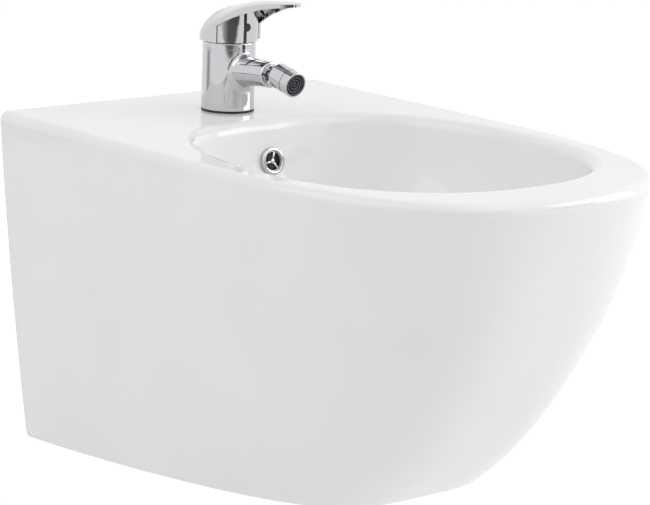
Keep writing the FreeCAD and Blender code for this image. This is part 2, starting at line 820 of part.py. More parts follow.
def lever_dome():
    """A dome over the hub, with a straight band at its foot."""
    foot = lever_base + skirt_band
    top = V(0, tap_y, foot + dome_height)
    side = [V(skirt_radius * r, tap_y, foot + dome_height * h)
            for r, h in zip(dome_radius_shares, dome_height_shares)]
    curve = Part.BSplineCurve()
    curve.interpolate(Points=side + [top], InitialTangent=UP, FinalTangent=-ALONG_X)
    corners = [top, V(0, tap_y, lever_base), V(skirt_radius, tap_y, lever_base), side[0]]
    sides = [Part.LineSegment(a, b).toShape() for a, b in zip(corners, corners[1:])]
    face = Part.Face(Part.Wire([curve.toShape()] + sides))
    return face.revolve(top, UP, 360)


def under_paddle():
    """The space below the paddle's edges, in front of where the skirt wraps round."""
    edge = [V(0, tap_y - lever_reach * r, lever_base + lever_crown * h)
            for r, h in zip(lever_edge_reach_shares, lever_edge_height_shares)]
    line = flowing_line(edge)
    far = edge[-1].y - overrun
    low = lever_base - overrun
    corners = [edge[-1], V(0, far, edge[-1].z), V(0, far, low), V(0, edge[0].y, low), edge[0]]
    sides = [Part.LineSegment(a, b).toShape() for a, b in zip(corners, corners[1:])]
    half = skirt_radius + overrun
    space = Part.Face(Part.Wire([line] + sides)).extrude(ALONG_X * 2 * half)
    space.translate(ALONG_X * -half)
    wrap = tap_y - skirt_side_wrap
    return space.common(box_between((-half, far - overrun, low - overrun), (half, wrap, low + width)))


def lever_cavity():
    """Room for the ring nut and the carrier while the lever tilts back."""
    low = lever_base - overrun
    knee = lever_base + cavity_straight
    top = lever_base + cavity_rise
    room = tube_z(cavity_radius, 0, low, knee, 0, tap_y)
    wrap = tap_y - cavity_wrap
    room = room.common(box_between((-width, wrap, low - overrun), (width, tap_y + width, knee + overrun)))
    room = room.fuse(tube_z(cavity_front_radius, 0, low, knee, 0, tap_y))
    cone = Part.makeCone(cavity_front_radius, cavity_top_radius, top - knee, V(0, tap_y, knee))
    boss = tube_z(lever_boss_radius, 0, lever_base + lever_boss_gap, top + overrun, 0, tap_y)
    return room.fuse(cone).cut(boss)


def lever():
    """Zinc casting: a hollow paddle and dome in one, a round hub, and a boss for the spindle."""
    hub = tube_z(hub_radius, 0, lever_base - overrun, lever_base + lever_crown, 0, tap_y)
    below = under_paddle().cut(hub)
    hollow = paddle(lever_wall).cut(hub)
    front = paddle(0.0).cut(below).cut(hollow)
    body = front.fuse(lever_dome().cut(below).cut(hollow))
    body = body.cut(lever_cavity())
    half = spindle_width / 2 + thread_clearance
    socket_top = rim + spindle_top + slip_clearance
    socket = box_between((-half, tap_y - half, lever_base), (half, tap_y + half, socket_top))
    hole_z = lever_base + grub_height
    hole = rod_out(grub_screw_radius + thread_clearance, hub_radius, V(0, tap_y, hole_z))
    pocket_start = V(0, tap_y - hub_radius + index_cap_depth, hole_z)
    pocket = rod_out(index_cap_radius + thread_clearance, hub_radius, pocket_start)
    return body.cut(socket).cut(hole).cut(pocket)


def grub_screw():
    start = V(0, tap_y - spindle_width / 2 - thread_clearance, lever_base + grub_height)
    mouth = start + OUT * (grub_screw_length - grub_socket_depth)
    socket = rod_out(grub_socket_radius, grub_screw_length, mouth)
    return rod_out(grub_screw_radius, grub_screw_length, start).cut(socket)


def index_cap():
    """Round plug over the grub screw, where the hot and cold colours go."""
    start = V(0, tap_y - hub_radius + index_cap_depth, lever_base + grub_height)
    cap = rod_out(index_cap_radius, index_cap_depth + index_cap_lip, start)
    front = [e for e in cap.Edges if e.BoundBox.YMax < tap_y - hub_radius]
    return cap.makeFillet(index_cap_lip / 2, front)


def ball_stem():
    """Ball on a short neck, with a collar and a thread in the spout, bored for the water."""
    end = tap_y - spout_end_offset
    thread = Part.makeCylinder(ball_thread_radius, ball_thread_length, V(0, end, nozzle_z), ALONG_Y)
    collar = rod_out(ball_collar_radius, ball_collar_thickness, V(0, end, nozzle_z))
    neck = rod_out(ball_neck_radius, end - ball_y, V(0, end, nozzle_z))
    stem = thread.fuse(collar).fuse(neck).fuse(Part.makeSphere(ball_radius, nozzle_centre))
    start = V(0, ball_y - ball_radius - overrun, nozzle_z)
    run = spout_end_offset + ball_offset
    return stem.cut(Part.makeCylinder(ball_bore_radius, run, start, ALONG_Y))


def swivel_liner():
    inner = ball_radius + slip_clearance
    return ring_of_arcs(inner, inner + liner_thickness, liner_reach, nozzle_centre, OUT)


def nozzle_socket():
    return Part.makeSphere(ball_radius + liner_thickness + 2 * slip_clearance, nozzle_centre)


def swivel_cap():
    """Screwed ring behind the ball that keeps it in the nozzle."""
    back = ball_y + nozzle_back
    depth = nozzle_back + nozzle_cap_front
    cap = rod_out(nozzle_radius, depth, V(0, back, nozzle_z))
    rear = [e for e in cap.Edges if e.BoundBox.YMin > back - slip_clearance]
    cap = cap.makeFillet(nozzle_shoulder_round, rear).cut(nozzle_socket())
    return cap.cut(rod_out(nozzle_mouth_radius, 2 * nozzle_back, V(0, back + overrun, nozzle_z)))


def swivel_barrel():
    start = V(0, ball_y - nozzle_cap_front, nozzle_z)
    barrel = rod_out(nozzle_radius, nozzle_split - nozzle_cap_front, start).cut(nozzle_socket())
    barrel = barrel.cut(rod_out(nozzle_bore_radius, nozzle_split + overrun, start))
    shelf = V(0, ball_y - nozzle_split + aerator_socket_depth, nozzle_z)
    return barrel.cut(rod_out(aerator_socket_radius, nozzle_split, shelf))


def aerator_seal():
    shelf = V(0, ball_y - nozzle_split + aerator_socket_depth, nozzle_z)
    ring = rod_out(aerator_socket_radius - thread_clearance, aerator_seal_thickness, shelf)
    return ring.cut(rod_out(nozzle_bore_radius, aerator_socket_depth, shelf))


def aerator_housing():
    """Threaded end of the nozzle, with a fine groove where it meets the barrel."""
    split = ball_y - nozzle_split
    spigot_length = aerator_socket_depth - aerator_seal_thickness
    spigot_start = V(0, split + spigot_length, nozzle_z)
    spigot = rod_out(aerator_socket_radius - thread_clearance, spigot_length, spigot_start)
    neck_radius = nozzle_radius - aerator_groove_depth
    neck = rod_out(neck_radius, aerator_groove_width, V(0, split, nozzle_z))
    main_start = V(0, split - aerator_groove_width, nozzle_z)
    main = rod_out(nozzle_radius, aerator_length - aerator_groove_width, main_start)
    front_y = split - aerator_length
    rim_edges = [e for e in main.Edges if e.BoundBox.YMax < front_y + slip_clearance]
    main = main.makeFillet(aerator_rim_round, rim_edges)
    body = spigot.fuse(neck).fuse(main)
    bore_start = V(0, split + overrun, nozzle_z)
    body = body.cut(rod_out(nozzle_bore_radius, aerator_length + overrun, bore_start))
    seat = V(0, front_y + aerator_recess + aerator_insert_depth, nozzle_z)
    return body.cut(rod_out(nozzle_radius - aerator_rim_wall, aerator_length, seat))


def aerator_insert():
    """Flow straightener: rings and bars across a short sleeve."""
    front_y = ball_y - nozzle_split - aerator_length + aerator_recess
    outer = nozzle_radius - aerator_rim_wall - thread_clearance
    back = V(0, front_y + aerator_insert_depth, nozzle_z)
    inner = outer - aerator_sleeve_wall
    bore = rod_out(inner, aerator_insert_depth + 2 * overrun, back - OUT * overrun)
    insert = rod_out(outer, aerator_insert_depth, back).cut(bore)
    face = V(0, front_y, nozzle_z)
    for share in aerator_ring_shares:
        ring = Part.makeCylinder(inner * share + aerator_web_width / 2, aerator_web_depth, face, ALONG_Y)
        hole = Part.makeCylinder(inner * share - aerator_web_width / 2, aerator_web_depth, face, ALONG_Y)
        insert = insert.fuse(ring.cut(hole))
    for i in range(aerator_bars):
        half = aerator_web_width / 2
        reach = inner + aerator_sleeve_wall / 2
        bar = box_between((-reach, 0, -half), (reach, aerator_web_depth, half))
        bar.rotate(V(), ALONG_Y, 180 * i / aerator_bars)
        bar.translate(face)
        insert = insert.fuse(bar)
    return insert.removeSplitter()


def waste_body():
    """Flanged brass tube with a thread for its nut, slots for the overflow and the outlet thread."""
    flange = tube_z(waste_flange_radius, 0, flange_under, flange_top, 0, waste_y)
    edge = [e for e in flange.Edges if e.BoundBox.ZMin > flange_top - slip_clearance]
    flange = flange.makeFillet(waste_flange_thickness / 2, edge)
    thread = tube_z(waste_thread_radius, 0, nut_foot, flange_under, 0, waste_y)
    undercut_foot = nut_foot - waste_undercut_length
    undercut = tube_z(waste_undercut_radius, 0, undercut_foot, nut_foot, 0, waste_y)
    outlet = tube_z(waste_thread_radius, 0, waste_end, undercut_foot, 0, waste_y)
    body = flange.fuse(thread).fuse(undercut).fuse(outlet)
    body = body.cut(tube_z(waste_bore_radius, 0, waste_end - overrun, flange_top + overrun, 0, waste_y))
    slot_top = bowl_floor - wall - waste_slot_drop
    half = waste_slot_width / 2
    reach = waste_thread_radius + overrun
    low = slot_top - waste_slot_height
    return body.cut(box_between((-half, waste_y - reach, low), (half, waste_y + reach, slot_top)))


def waste_seal():
    return tube_z(waste_seal_radius, waste_throat_radius, bowl_floor, flange_under, 0, waste_y)


def waste_gasket():
    """Tapered rubber ring below the ceramic."""
    low = boss_foot - waste_gasket_thickness
    foot = V(0, waste_y, low)
    cone = Part.makeCone(waste_gasket_foot_radius, waste_gasket_radius, waste_gasket_thickness, foot)
    return cone.cut(bore_z(waste_thread_radius + thread_clearance, low, boss_foot, 0, waste_y))


def waste_nut():
    top = nut_foot + waste_nut_height
    hole = bore_z(waste_thread_radius + thread_clearance, nut_foot, top, 0, waste_y)
    return hexagon(waste_nut_flats, nut_foot, top, 0, waste_y).cut(hole)


def waste_guide():
    """Spider inside the waste that carries the plug's stem."""
    top = flange_top - guide_drop
    low = top - guide_thickness
    outer = waste_bore_radius - thread_clearance
    inner = outer - guide_ring_wall
    guide = tube_z(outer, inner, low, top, 0, waste_y)
    guide = guide.fuse(tube_z(guide_hub_radius, 0, low, top, 0, waste_y))
    half = guide_bar_width / 2
    for i in range(guide_bars):
        bar = box_between((0, -half, low), (inner + guide_ring_wall / 2, half, top))
        bar.rotate(V(), UP, 360 * i / guide_bars)
        bar.translate(V(0, waste_y, 0))
        guide = guide.fuse(bar)
    hole = bore_z(plug_stem_radius + running_clearance, low, top, 0, waste_y)
    return guide.cut(hole).removeSplitter()


def plug_low():
    return flange_top + slip_clearance


def plug_spigot_foot():
    return plug_low() - plug_spigot_depth


def waste_plug():
    """Domed cover that is pressed to open and to close."""
    low = plug_low() + plug_seal_thickness
    top = low + plug_thickness + plug_crown
    dome_radius = (plug_radius ** 2 + plug_crown ** 2) / (2 * plug_crown)
    dome = Part.makeSphere(dome_radius, V(0, waste_y, top - dome_radius))
    cover = tube_z(plug_radius, 0, low, top, 0, waste_y).common(dome)
    spigot = tube_z(plug_spigot_radius, 0, plug_spigot_foot(), low, 0, waste_y)
    return cover.fuse(spigot)


def plug_seal():
    low = plug_low()
    outer = waste_seal_radius - plug_seal_width
    return tube_z(outer, outer - 2 * plug_seal_width, low, low + plug_seal_thickness, 0, waste_y)


def plug_stem():
    top = plug_spigot_foot()
    return tube_z(plug_stem_radius, 0, top - plug_stem_length, top, 0, waste_y)


NODES = {
    "ceramic_body": ceramic_body,
    "wall_bushes": wall_bushes,
    "overflow_ring": overflow_ring,
    "overflow_insert": overflow_insert,
    "tap_body": tap_body,
    "tap_gasket": tap_gasket,
    "tap_stud": tap_stud,
    "tap_rubber_washer": tap_rubber_washer,
    "tap_clamp_washer": tap_clamp_washer,
    "tap_nut": tap_nut,
    "cartridge_seals": cartridge_seals,
    "cartridge_housing": cartridge_housing,
    "fixed_disc": fixed_disc,
    "moving_disc": moving_disc,
    "disc_slider": disc_slider,
    "spindle_carrier": spindle_carrier,
    "spindle_pin": spindle_pin,
    "spindle": spindle,
    "cartridge_nut": cartridge_nut,
    "shroud_ring": shroud_ring,
    "lever": lever,
    "grub_screw": grub_screw,
    "index_cap": index_cap,
    "ball_stem": ball_stem,
    "swivel_liner": swivel_liner,
    "swivel_cap": swivel_cap,
    "swivel_barrel": swivel_barrel,
    "aerator_seal": aerator_seal,
    "aerator_housing": aerator_housing,
    "aerator_insert": aerator_insert,
    "waste_body": waste_body,
    "waste_seal": waste_seal,
    "waste_gasket": waste_gasket,
    "waste_nut": waste_nut,
    "waste_guide": waste_guide,
    "waste_plug": waste_plug,
    "plug_seal": plug_seal,
    "plug_stem": plug_stem,
}

TILTED_WITH_NOZZLE = ("swivel_liner", "swivel_cap", "swivel_barrel", "aerator_seal", "aerator_housing",
                      "aerator_insert")

os.makedirs("parts", exist_ok=True)
for name, build in NODES.items():
    shape = build()
    if name in TILTED_WITH_NOZZLE:
        shape.rotate(nozzle_centre, ALONG_X, nozzle_rest_tilt)
    shape.exportStep(f"parts/{name}.step")
    print(name, shape.isValid(), len(shape.Solids), round(shape.Volume))
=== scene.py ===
"""A wall-hung bidet with a deck-mounted single-lever mixer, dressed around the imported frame."""
import json
import math

import bpy
from mathutils import Matrix, Vector


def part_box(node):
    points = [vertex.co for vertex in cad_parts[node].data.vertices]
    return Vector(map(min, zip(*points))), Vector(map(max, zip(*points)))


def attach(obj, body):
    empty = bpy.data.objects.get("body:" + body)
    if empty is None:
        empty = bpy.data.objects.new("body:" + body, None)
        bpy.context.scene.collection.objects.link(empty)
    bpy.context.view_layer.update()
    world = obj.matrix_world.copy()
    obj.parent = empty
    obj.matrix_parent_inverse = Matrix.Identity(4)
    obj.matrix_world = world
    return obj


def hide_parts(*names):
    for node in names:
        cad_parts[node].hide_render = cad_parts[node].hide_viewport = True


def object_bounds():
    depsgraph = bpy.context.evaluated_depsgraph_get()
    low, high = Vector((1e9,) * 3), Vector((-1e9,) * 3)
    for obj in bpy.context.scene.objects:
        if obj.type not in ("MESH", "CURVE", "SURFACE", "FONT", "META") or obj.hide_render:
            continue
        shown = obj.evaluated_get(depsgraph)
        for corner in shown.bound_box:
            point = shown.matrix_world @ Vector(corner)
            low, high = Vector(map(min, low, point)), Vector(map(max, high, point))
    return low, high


bl_info = {
    "name": "Wall-hung bidet",
    "version": (1, 0, 0),
    "blender": (4, 5, 0),
    "location": "3D View > Sidebar > Bidet",
    "description": "Glazes, plates and details a wall-hung bidet and its mixer",
    "category": "Object",
}

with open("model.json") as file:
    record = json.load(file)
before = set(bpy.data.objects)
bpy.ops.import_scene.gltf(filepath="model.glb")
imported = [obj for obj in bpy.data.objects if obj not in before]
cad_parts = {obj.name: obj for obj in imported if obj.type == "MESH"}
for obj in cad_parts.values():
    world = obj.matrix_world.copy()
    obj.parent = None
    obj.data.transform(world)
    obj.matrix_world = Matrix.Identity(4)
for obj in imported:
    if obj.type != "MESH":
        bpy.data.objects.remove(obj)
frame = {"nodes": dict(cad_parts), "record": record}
CAD_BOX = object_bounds()
NODES = frame["nodes"]
BODIES = frame["record"]["behaviour"]["bodies"]
SLOT_OF = {part["node"]: part["material_slot"] for part in frame["record"]["subparts"]}
MM = 0.001


# Helpers for materials

def linear(code):
    """An sRGB hex colour as the linear values that a shader's socket takes."""
    shares = [int(code[i:i + 2], 16) / 255 for i in (1, 3, 5)]
    return [s / 12.92 if s <= 0.04045 else ((s + 0.055) / 1.055) ** 2.4 for s in shares] + [1.0]


def add_node(tree, kind, values=None, links=None, **settings):
    """Adds a node: settings are its properties, values go on its sockets, links feed them."""
    node = tree.nodes.new(kind)
    for key, value in settings.items():
        setattr(node, key, value)
    for key, value in (values or {}).items():
        node.inputs[key].default_value = value
    for key, source in (links or {}).items():
        tree.links.new(source, node.inputs[key])
    return node


def start_finish(name, **sockets):
    """A new material's tree, its shader and the Object coordinates."""
    material = bpy.data.materials.new(name)
    material.use_nodes = True
    tree = material.node_tree
    tree.nodes.clear()
    shader = add_node(tree, "ShaderNodeBsdfPrincipled", sockets)
    add_node(tree, "ShaderNodeOutputMaterial", links={"Surface": shader.outputs["BSDF"]})
    return tree, shader, add_node(tree, "ShaderNodeTexCoord").outputs["Object"]


def patches(tree, place, size):
    """A soft random field from 0 to 1 whose patches are about that size, in metres."""
    noise = add_node(tree, "ShaderNodeTexNoise", {"Scale": 1 / size, "Detail": 3.0},
                     {"Vector": place})
    return add_node(tree, "ShaderNodeMapRange", {"From Min": 0.3, "From Max": 0.7},
                    {"Value": noise.outputs["Fac"]}).outputs["Result"]


def blend_colour(tree, field, low, high):
    """The colour that a field picks between two hex colours."""
    mix = add_node(tree, "ShaderNodeMix", {6: linear(low), 7: linear(high)}, {0: field},
                   data_type="RGBA")
    return mix.outputs[2]


def blend_value(tree, field, low, high):
    """The value that a field picks between two numbers."""
    return add_node(tree, "ShaderNodeMapRange", {"To Min": low, "To Max": high},
                    {"Value": field}).outputs["Result"]


def raise_surface(tree, shader, height, distance):
    """Feeds the shader a bump of that height, in metres."""
    bump = add_node(tree, "ShaderNodeBump", {"Distance": distance, "Strength": 1.0},
                    {"Height": height})
    tree.links.new(bump.outputs["Normal"], shader.inputs["Normal"])


def moulded(name, low, high, roughness, grain, height, ior):
    """A moulded or sintered surface: faint patches of colour and gloss, and a fine grain, drawn
    coarser than the real one so that it shows."""
    tree, shader, place = start_finish(name, IOR=ior)
    field = patches(tree, place, 12 * grain)
    tree.links.new(blend_colour(tree, field, low, high), shader.inputs["Base Color"])
    tree.links.new(blend_value(tree, field, *roughness), shader.inputs["Roughness"])
    raise_surface(tree, shader, patches(tree, place, grain), height)


# Finishes

def glazed_china(name):
    """Vitreous china under a clear fired glaze: bright, with a slow wave in its reflections.
    The ground face on the wall is left bare, so it is matt and warmer, and the speckle of its
    clay is drawn coarser than the real one so that it shows."""
    look = bpy.context.scene.bidet_finish
    tree, shader, place = start_finish(name, IOR=1.52)
    field = patches(tree, place, 90 * MM)
    glaze = blend_colour(tree, field, look.glaze_shade, look.glaze)
    depth = add_node(tree, "ShaderNodeSeparateXYZ", links={"Vector": place}).outputs["Y"]
    bare = add_node(tree, "ShaderNodeMapRange",
                    {"From Min": -1.2 * MM, "From Max": -0.5 * MM},
                    {"Value": depth}).outputs["Result"]
    speckle = blend_colour(tree, patches(tree, place, 1.5 * MM), "#D9D4C8", "#E6E2D8")
    colour = add_node(tree, "ShaderNodeMix", links={0: bare, 6: glaze, 7: speckle},
                      data_type="RGBA")
    tree.links.new(colour.outputs[2], shader.inputs["Base Color"])
    tree.links.new(blend_value(tree, bare, look.glaze_roughness, 0.8), shader.inputs["Roughness"])
    raise_surface(tree, shader, patches(tree, place, 38 * MM), 0.12 * MM)


def chrome_on_brass(name):
    """Bright chromium over polished brass: a neutral mirror with faint wipe marks."""
    look = bpy.context.scene.bidet_finish
    tree, shader, place = start_finish(name, Metallic=1.0)
    shader.inputs["Base Color"].default_value = linear(look.chrome)
    wiped = add_node(tree, "ShaderNodeMapping", {"Scale": (1.0, 1.0, 0.35)}, {"Vector": place})
    field = patches(tree, wiped.outputs["Vector"], 9 * MM)
    low = look.chrome_roughness
    tree.links.new(blend_value(tree, field, low, 1.7 * low), shader.inputs["Roughness"])
    raise_surface(tree, shader, patches(tree, place, 24 * MM), 0.012 * MM)


def turned_brass(name):
    """Bare brass off the lathe: yellow metal with the cutter's rings up its height. They are
    about 2.5 mm apart, coarser than the real ones so that they show."""
    tree, shader, place = start_finish(name, Metallic=1.0)
    field = patches(tree, place, 14 * MM)
    tree.links.new(blend_colour(tree, field, "#B8944F", "#D6B673"), shader.inputs["Base Color"])
    tree.links.new(blend_value(tree, field, 0.22, 0.38), shader.inputs["Roughness"])
    rings = add_node(tree, "ShaderNodeTexWave", {"Scale": 1 / (8 * MM), "Distortion": 0.4},
                     {"Vector": place}, wave_type="BANDS", bands_direction="Z")
    raise_surface(tree, shader, rings.outputs["Fac"], 0.02 * MM)


def brushed_stainless(name):
    """Stamped or turned stainless steel: grey, with level drawn lines. They are about 0.4 mm
    apart, coarser than the real ones so that they show."""
    tree, shader, place = start_finish(name, Metallic=1.0)
    drawn = add_node(tree, "ShaderNodeMapping", {"Scale": (1.0, 1.0, 14.0)}, {"Vector": place})
    field = patches(tree, drawn.outputs["Vector"], 6 * MM)
    tree.links.new(blend_colour(tree, field, "#A4A6A8", "#C4C6C8"), shader.inputs["Base Color"])
    tree.links.new(blend_value(tree, field, 0.2, 0.36), shader.inputs["Roughness"])
    raise_surface(tree, shader, field, 0.01 * MM)


# For each slot of the record its material's name and what makes it. What is moulded has its
# darker and lighter colour, its roughness, its grain and the grain's height, and its IOR too.
FINISHES = {
    "vitreous_china": ("glazed_vitreous_china", glazed_china),
    "chrome_plate": ("polished_chrome_plate", chrome_on_brass),
    "raw_brass": ("turned_brass", turned_brass),
    "stainless_steel": ("brushed_stainless_steel", brushed_stainless),
    # Moulded rubber: near black, dull, with the mould's fine tooth.
    "black_rubber": ("moulded_epdm_rubber", moulded, "#161617", "#232324", (0.62, 0.8),
                     0.5 * MM, 0.03 * MM, 1.52),
    # Moulded nylon: milky white, half matt.
    "white_nylon": ("moulded_white_nylon", moulded, "#DEDDD6", "#E9E8E2", (0.38, 0.52),
                    0.8 * MM, 0.02 * MM, 1.53),
    # Moulded acetal: waxy grey.
    "grey_acetal": ("moulded_grey_acetal", moulded, "#8B8D90", "#9DA0A2", (0.3, 0.44),
                    0.8 * MM, 0.02 * MM, 1.48),
    # Lapped alumina: dense off-white ceramic, silky.
    "alumina": ("lapped_alumina", moulded, "#E2DED4", "#EFEBE2", (0.12, 0.2),
                0.3 * MM, 0.002 * MM, 1.76),
    # Dark acetal: the moulded grid of the aerator, half matt.
    "dark_acetal": ("moulded_dark_acetal", moulded, "#4E5054", "#606266", (0.45, 0.6),
                    0.6 * MM, 0.02 * MM, 1.48),
    # Woven nylon screen behind the aerator's rings, dull; its near black is painted shade, for the
    # dark deep in the nozzle.
    "black_screen": ("woven_black_nylon", moulded, "#0C0C0D", "#151517", (0.6, 0.75),
                     0.5 * MM, 0.02 * MM, 1.53),
    # Gloss plastic of the index cap.
    "index_plastic": ("gloss_index_plastic", moulded, "#242528", "#2E3033", (0.12, 0.2),
                      0.6 * MM, 0.005 * MM, 1.49),
}


def finish_for(slot):
    """The material of one of the record's slots, made the first time that it is asked for."""
    name, make, *settings = FINISHES[slot]
    if name not in bpy.data.materials:
        make(name, *settings)
    return bpy.data.materials[name]


def dress_nodes(names):
    """Gives CAD nodes the finish that their slot in the record names."""
    for name in names:
        node = NODES[name]
        if not node.material_slots:
            node.data.materials.append(None)
        for place in node.material_slots:
            place.material = finish_for(SLOT_OF[name])


# Helpers for shapes

def between(first, last, share):
    """The value at a share of the way from the first to the last."""
    return first + (last - first) * share


def pick(piece):
    """Makes one object the only one that the next operator works on."""
    bpy.ops.object.select_all(action="DESELECT")
    piece.select_set(True)
    bpy.context.view_layer.objects.active = piece


def apply_modifier(piece, kind, **settings):
    """Adds a modifier with its settings and applies it."""
    modifier = piece.modifiers.new(kind.lower(), kind)
    for key, value in settings.items():
        setattr(modifier, key, value)
    pick(piece)
    bpy.ops.object.modifier_apply(modifier=modifier.name)


def close_surface(piece, angle=35):
    """Welds a piece's seams, turns its faces outward and smooths all but its sharp edges."""
    pick(piece)
    bpy.ops.object.mode_set(mode="EDIT")
    bpy.ops.mesh.select_all(action="SELECT")
    bpy.ops.mesh.remove_doubles(threshold=0.002 * MM)
    bpy.ops.mesh.normals_make_consistent(inside=False)
    bpy.ops.object.mode_set(mode="OBJECT")
    bpy.ops.object.shade_smooth_by_angle(angle=math.radians(angle))


def softened(corners, steps=6):
    """A closed outline from (radius, height, softness) corners, in millimetres."""
    outline = []
    for i, (radius, height, soft) in enumerate(corners):
        corner = Vector((radius, height))
        before = (Vector(corners[i - 1][:2]) - corner).normalized() * soft
        after = (Vector(corners[(i + 1) % len(corners)][:2]) - corner).normalized() * soft
        for k in range(steps + 1 if soft else 1):
            t = k / steps
            outline.append((corner + before * (1 - t)).lerp(corner + after * t, t))
    return outline


def line_piece(name, loops, closed=True):
    """A new object of bare outlines in the XZ plane, ready to be turned."""
    points = []
    edges = []
    for loop in loops:
        first = len(points)
        points += [(p[0] * MM, 0, p[1] * MM) for p in loop]
        edges += [(first + i, first + i + 1) for i in range(len(loop) - 1)]
        if closed:
            edges.append((first + len(loop) - 1, first))
    mesh = bpy.data.meshes.new(name)
    mesh.from_pydata(points, edges, [])
    piece = bpy.data.objects.new(name, mesh)
    bpy.context.collection.objects.link(piece)
    return piece


def move_mesh(piece, centre, axis=(0, 0, 1)):
    """Stands a mesh up along an axis at a point, with its object left at the origin."""
    turn = Vector((0, 0, 1)).rotation_difference(Vector(axis)).to_matrix().to_4x4()
    piece.data.transform(Matrix.Translation(Vector(centre) * MM) @ turn)


def spun(name, loops, centre, axis=(0, 0, 1), steps=96):
    """A turned piece from closed outlines, in millimetres, round an axis through a point."""
    piece = line_piece(name, loops)
    apply_modifier(piece, "SCREW", steps=steps, render_steps=steps, use_merge_vertices=True,
                   merge_threshold=0.001 * MM)
    move_mesh(piece, centre, axis)
    close_surface(piece)
    return piece


# Shares of a thread's pitch at which its crest begins and ends and its root begins.
CREST_START, CREST_END, ROOT_START = 0.42, 0.54, 0.96


def threaded(name, radius, depth, pitch, turns, foot, steps=48):
    """A helical thread on a plain core that closes both of its ends."""
    ridge = [(radius - depth, 0), (radius, pitch * CREST_START), (radius, pitch * CREST_END),
             (radius - depth, pitch * ROOT_START), (radius - depth, pitch)]
    piece = line_piece(name, [ridge], closed=False)
    apply_modifier(piece, "SCREW", steps=steps, render_steps=steps, screw_offset=pitch * MM,
                   iterations=turns)
    move_mesh(piece, foot)
    close_surface(piece)
    return piece


def join(piece, *others):
    """Joins other objects into a piece."""
    pick(piece)
    for other in others:
        other.select_set(True)
    bpy.ops.object.join()
    return piece


def cut_by(piece, low, high):
    """Cuts a box between two corners, in millimetres, out of a piece."""
    middle = [(a + b) / 2 * MM for a, b in zip(low, high)]
    bpy.ops.mesh.primitive_cube_add(size=1, location=middle)
    tool = bpy.context.object
    tool.scale = [(b - a) * MM for a, b in zip(low, high)]
    apply_modifier(piece, "BOOLEAN", operation="DIFFERENCE", object=tool, solver="EXACT")
    bpy.data.objects.remove(tool)


def finish_piece(piece, body, slot, *nodes):
    """Gives a new piece its body and its finish, and hides the CAD nodes that it stands for."""
    piece.data.materials.clear()
    piece.data.materials.append(finish_for(slot))
    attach(piece, body)
    if nodes:
        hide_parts(*nodes)


# Sizes and colours that a user would change

class BidetFinish(bpy.types.PropertyGroup):
    """Colours and gloss of the finishes that show most."""
    glaze: bpy.props.StringProperty(
        name="Glaze", description="sRGB hex colour of the glaze", default="#F5F5F4")
    glaze_shade: bpy.props.StringProperty(
        name="Glaze, thin", description="sRGB hex colour where the glaze is thinner",
        default="#F2F2F1")
    glaze_roughness: bpy.props.FloatProperty(
        name="Glaze roughness", description="Roughness of the glaze", default=0.07,
        min=0.0, max=1.0, subtype="FACTOR")
    chrome: bpy.props.StringProperty(
        name="Chrome", description="sRGB hex colour of the chromium plate", default="#CBCCCE")
    chrome_roughness: bpy.props.FloatProperty(
        name="Chrome roughness", description="Lowest roughness of the chromium plate",
        default=0.035, min=0.0, max=1.0, subtype="FACTOR")


class BidetSizes(bpy.types.PropertyGroup):
    """Sizes of the small forms that are modelled here and not in the CAD."""
    blend_under: bpy.props.FloatProperty(
        name="Hollow under the spout", default=9.5 * MM, precision=5, unit="LENGTH",
        description="Radius of the hollow between spout and body at the spout's underside")
    blend_over: bpy.props.FloatProperty(
        name="Hollow over the spout", default=3.9 * MM, precision=5, unit="LENGTH",
        description="Radius of the hollow between spout and body at the spout's top")
    bar_width: bpy.props.FloatProperty(
        name="Overflow bar", description="Width of the overflow's three bars",
        default=1.7 * MM, precision=5, unit="LENGTH")
    bar_turn: bpy.props.FloatProperty(
        name="Overflow turn", description="Turn of the overflow's first bar from upright",
        default=math.radians(-20), subtype="ANGLE")
    screen_thread: bpy.props.FloatProperty(
        name="Screen thread", description="Thickness of the threads of the aerator's screen",
        default=0.3 * MM, precision=5, unit="LENGTH")


class BidetStage(bpy.types.PropertyGroup):
    """Where the floor lies and how strong the studio's light is."""
    floor_drop: bpy.props.FloatProperty(
        name="Floor drop", description="Distance of the floor below the object",
        default=0.12, unit="LENGTH")
    ambient: bpy.props.FloatProperty(
        name="Ambient", description="Level of the even light all round", default=0.66)
    top_power: bpy.props.FloatProperty(
        name="Top lamp", description="Power of the lamp overhead", default=1.5, unit="POWER")
    right_power: bpy.props.FloatProperty(
        name="Right lamp", description="Power of the lamp on the right", default=26.0,
        unit="POWER")
    left_power: bpy.props.FloatProperty(
        name="Left lamp", description="Power of the lamp on the left", default=10.5, unit="POWER")


# Pieces

# Millimetres and degrees. Heights of the overflow run along its axis from its seat, those of
# the aerator along its axis from its face, and all others up from the CAD's origin.
OVERFLOW_SEAT, OVERFLOW_TILT = (0, -151.28, 44.10), 12
OVERFLOW_RADIUS, OVERFLOW_FLANGE, OVERFLOW_LIP = 12, 0.3, 4
OVERFLOW_SPIGOT, OVERFLOW_BORE, OVERFLOW_BACK = 9, 8.55, -12
OVERFLOW_SLEEVE, OVERFLOW_OPENING, OVERFLOW_SLEEVE_TOP = 8.5, 8.1, 2.2
OVERFLOW_HUB, OVERFLOW_HUB_TOP = 2.0, 2.1
OVERFLOW_BARS_BACK, OVERFLOW_BARS_TOP, OVERFLOW_BARS_APART = -0.4, 1.9, 120
WASTE_Y = -270
WASTE_LOW, WASTE_NECK, WASTE_TOP = -141, -109, -53.5
WASTE_RADIUS, WASTE_THREAD_DEPTH, WASTE_PITCH = 20.95, 1.3, 2.309
WASTE_BORE, WASTE_SHOULDER, WASTE_SHOULDER_HEIGHT = 18, 20, 2
WASTE_FLANGE, WASTE_FLANGE_HEIGHT = 31.5, 2.5
